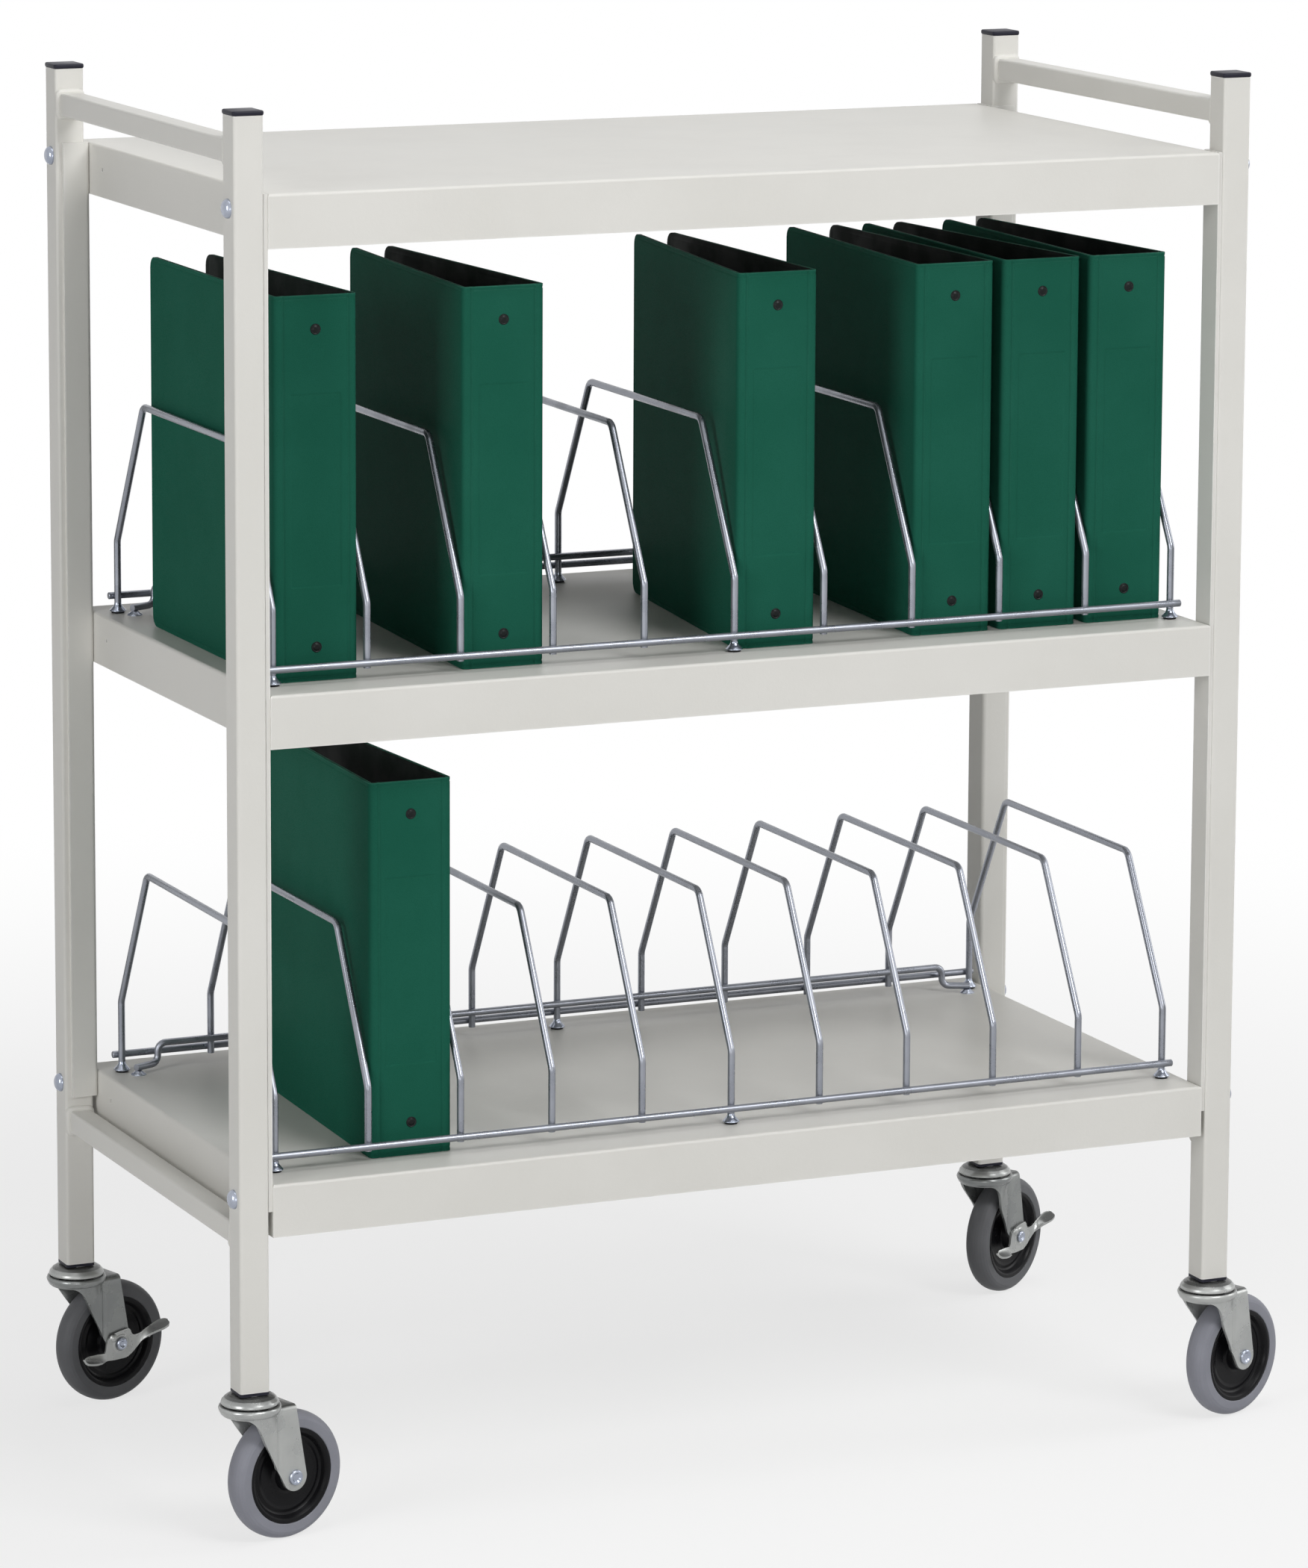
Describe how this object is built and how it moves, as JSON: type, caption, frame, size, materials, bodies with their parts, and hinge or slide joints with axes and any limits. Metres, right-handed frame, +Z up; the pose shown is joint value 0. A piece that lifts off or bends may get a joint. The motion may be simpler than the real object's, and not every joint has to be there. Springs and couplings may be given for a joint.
{
  "type": "medical chart rack",
  "caption": "Wheeled two-tier wire chart rack with square-tube end frames, pressed shelves, slotted wire dividers and ring binders standing in the slots.",
  "frame": {"origin": "on the floor, at the centre of the four posts", "axes": "+Z up, +X to the right seen from the front (binder spines face -Y), +Y to the rear"},
  "size_m": [0.99, 0.501, 1.167],
  "materials": {
    "frame_paint": "fine-textured cream powder coat",
    "wire_plating": "bright nickel plate",
    "zinc_hardware": "bright zinc plate",
    "caster_zinc": "zinc plate",
    "black_plastic": "moulded",
    "hub_plastic": "moulded",
    "grey_tyre": "grey thermoplastic rubber",
    "grommet_rubber": "matte",
    "binder_vinyl": "heat-sealed green vinyl over board"
  },
  "bodies": {
    "rack": {"angle_front_left": "frame_paint", "angle_front_right": "frame_paint", "angle_rear_left": "frame_paint", "angle_rear_right": "frame_paint", "caster_balls": "zinc_hardware", "caster_plugs": "black_plastic", "caster_stems": "caster_zinc", "cross_rail_left": "frame_paint", "cross_rail_right": "frame_paint", "dividers_bottom": "wire_plating", "dividers_middle": "wire_plating", "foot_grommets": "grommet_rubber", "foot_nuts": "zinc_hardware", "frame_bolts": "zinc_hardware", "frame_nuts": "zinc_hardware", "front_rod_bottom": "wire_plating", "front_rod_middle": "wire_plating", "handle_left": "frame_paint", "handle_right": "frame_paint", "post_caps": "black_plastic", "post_front_left": "frame_paint", "post_front_right": "frame_paint", "post_rear_left": "frame_paint", "post_rear_right": "frame_paint", "rack_feet": "zinc_hardware", "rail_feet": "zinc_hardware", "rail_nuts": "zinc_hardware", "rear_rod_bottom": "wire_plating", "rear_rod_middle": "wire_plating", "shelf_bottom": "frame_paint", "shelf_middle": "frame_paint", "shelf_top": "frame_paint", "stop_rail_bottom": "wire_plating", "stop_rail_middle": "wire_plating"},
    "swivel_front_left": {"fork_front_left": "caster_zinc", "axle_front_left": "caster_zinc"},
    "wheel_front_left": {"hub_front_left": "hub_plastic", "tyre_front_left": "grey_tyre"},
    "swivel_front_right": {"fork_front_right": "caster_zinc", "axle_front_right": "caster_zinc"},
    "wheel_front_right": {"hub_front_right": "hub_plastic", "tyre_front_right": "grey_tyre"},
    "swivel_rear_left": {"fork_rear_left": "caster_zinc", "axle_rear_left": "caster_zinc"},
    "wheel_rear_left": {"hub_rear_left": "hub_plastic", "tyre_rear_left": "grey_tyre"},
    "brake_rear_left": {"brake_lever_rear_left": "caster_zinc"},
    "swivel_rear_right": {"fork_rear_right": "caster_zinc", "axle_rear_right": "caster_zinc"},
    "wheel_rear_right": {"hub_rear_right": "hub_plastic", "tyre_rear_right": "grey_tyre"},
    "brake_rear_right": {"brake_lever_rear_right": "caster_zinc"},
    "binder_middle_1": {"binder_middle_1": "binder_vinyl"},
    "binder_middle_3": {"binder_middle_3": "binder_vinyl"},
    "binder_middle_6": {"binder_middle_6": "binder_vinyl"},
    "binder_middle_8": {"binder_middle_8": "binder_vinyl"},
    "binder_middle_9": {"binder_middle_9": "binder_vinyl"},
    "binder_middle_10": {"binder_middle_10": "binder_vinyl"},
    "binder_bottom_2": {"binder_bottom_2": "binder_vinyl"}
  },
  "joints": [
    {"name": "swivel_front_left", "type": "hinge", "parent": "rack", "child": "swivel_front_left", "pos_m": [-0.4398, -0.2123, 0.118], "axis": [0, 0, 1], "continuous": true},
    {"name": "wheel_front_left", "type": "hinge", "parent": "swivel_front_left", "child": "wheel_front_left", "pos_m": [-0.40704, -0.20321, 0.0533], "axis": [-0.2672, 0.9636, 0], "continuous": true},
    {"name": "swivel_front_right", "type": "hinge", "parent": "rack", "child": "swivel_front_right", "pos_m": [0.4398, -0.2123, 0.118], "axis": [0, 0, 1], "continuous": true},
    {"name": "wheel_front_right", "type": "hinge", "parent": "swivel_front_right", "child": "wheel_front_right", "pos_m": [0.47143, -0.19984, 0.0533], "axis": [-0.3665, 0.9304, 0], "continuous": true},
    {"name": "swivel_rear_left", "type": "hinge", "parent": "rack", "child": "swivel_rear_left", "pos_m": [-0.4398, 0.2123, 0.118], "axis": [0, 0, 1], "continuous": true},
    {"name": "wheel_rear_left", "type": "hinge", "parent": "swivel_rear_left", "child": "wheel_rear_left", "pos_m": [-0.4072, 0.22196, 0.0533], "axis": [-0.284, 0.9588, 0], "continuous": true},
    {"name": "brake_rear_left", "type": "hinge", "parent": "swivel_rear_left", "child": "brake_rear_left", "pos_m": [-0.4072, 0.22196, 0.0533], "axis": [-0.284, 0.9588, 0], "range_deg": [0, 14]},
    {"name": "swivel_rear_right", "type": "hinge", "parent": "rack", "child": "swivel_rear_right", "pos_m": [0.4398, 0.2123, 0.118], "axis": [0, 0, 1], "continuous": true},
    {"name": "wheel_rear_right", "type": "hinge", "parent": "swivel_rear_right", "child": "wheel_rear_right", "pos_m": [0.46909, 0.22956, 0.0533], "axis": [-0.5075, 0.8616, 0], "continuous": true},
    {"name": "brake_rear_right", "type": "hinge", "parent": "swivel_rear_right", "child": "brake_rear_right", "pos_m": [0.46909, 0.22956, 0.0533], "axis": [-0.5075, 0.8616, 0], "range_deg": [0, 14]},
    {"name": "lift_middle_1", "type": "slide", "parent": "rack", "child": "binder_middle_1", "axis": [0, 0, 1], "range_m": [0, 0.045]},
    {"name": "lift_middle_3", "type": "slide", "parent": "rack", "child": "binder_middle_3", "axis": [0, 0, 1], "range_m": [0, 0.045]},
    {"name": "lift_middle_6", "type": "slide", "parent": "rack", "child": "binder_middle_6", "axis": [0, 0, 1], "range_m": [0, 0.045]},
    {"name": "lift_middle_8", "type": "slide", "parent": "rack", "child": "binder_middle_8", "axis": [0, 0, 1], "range_m": [0, 0.045]},
    {"name": "lift_middle_9", "type": "slide", "parent": "rack", "child": "binder_middle_9", "axis": [0, 0, 1], "range_m": [0, 0.045]},
    {"name": "lift_middle_10", "type": "slide", "parent": "rack", "child": "binder_middle_10", "axis": [0, 0, 1], "range_m": [0, 0.045]},
    {"name": "lift_bottom_2", "type": "slide", "parent": "rack", "child": "binder_bottom_2", "axis": [0, 0, 1], "range_m": [0, 0.045]}
  ]
}
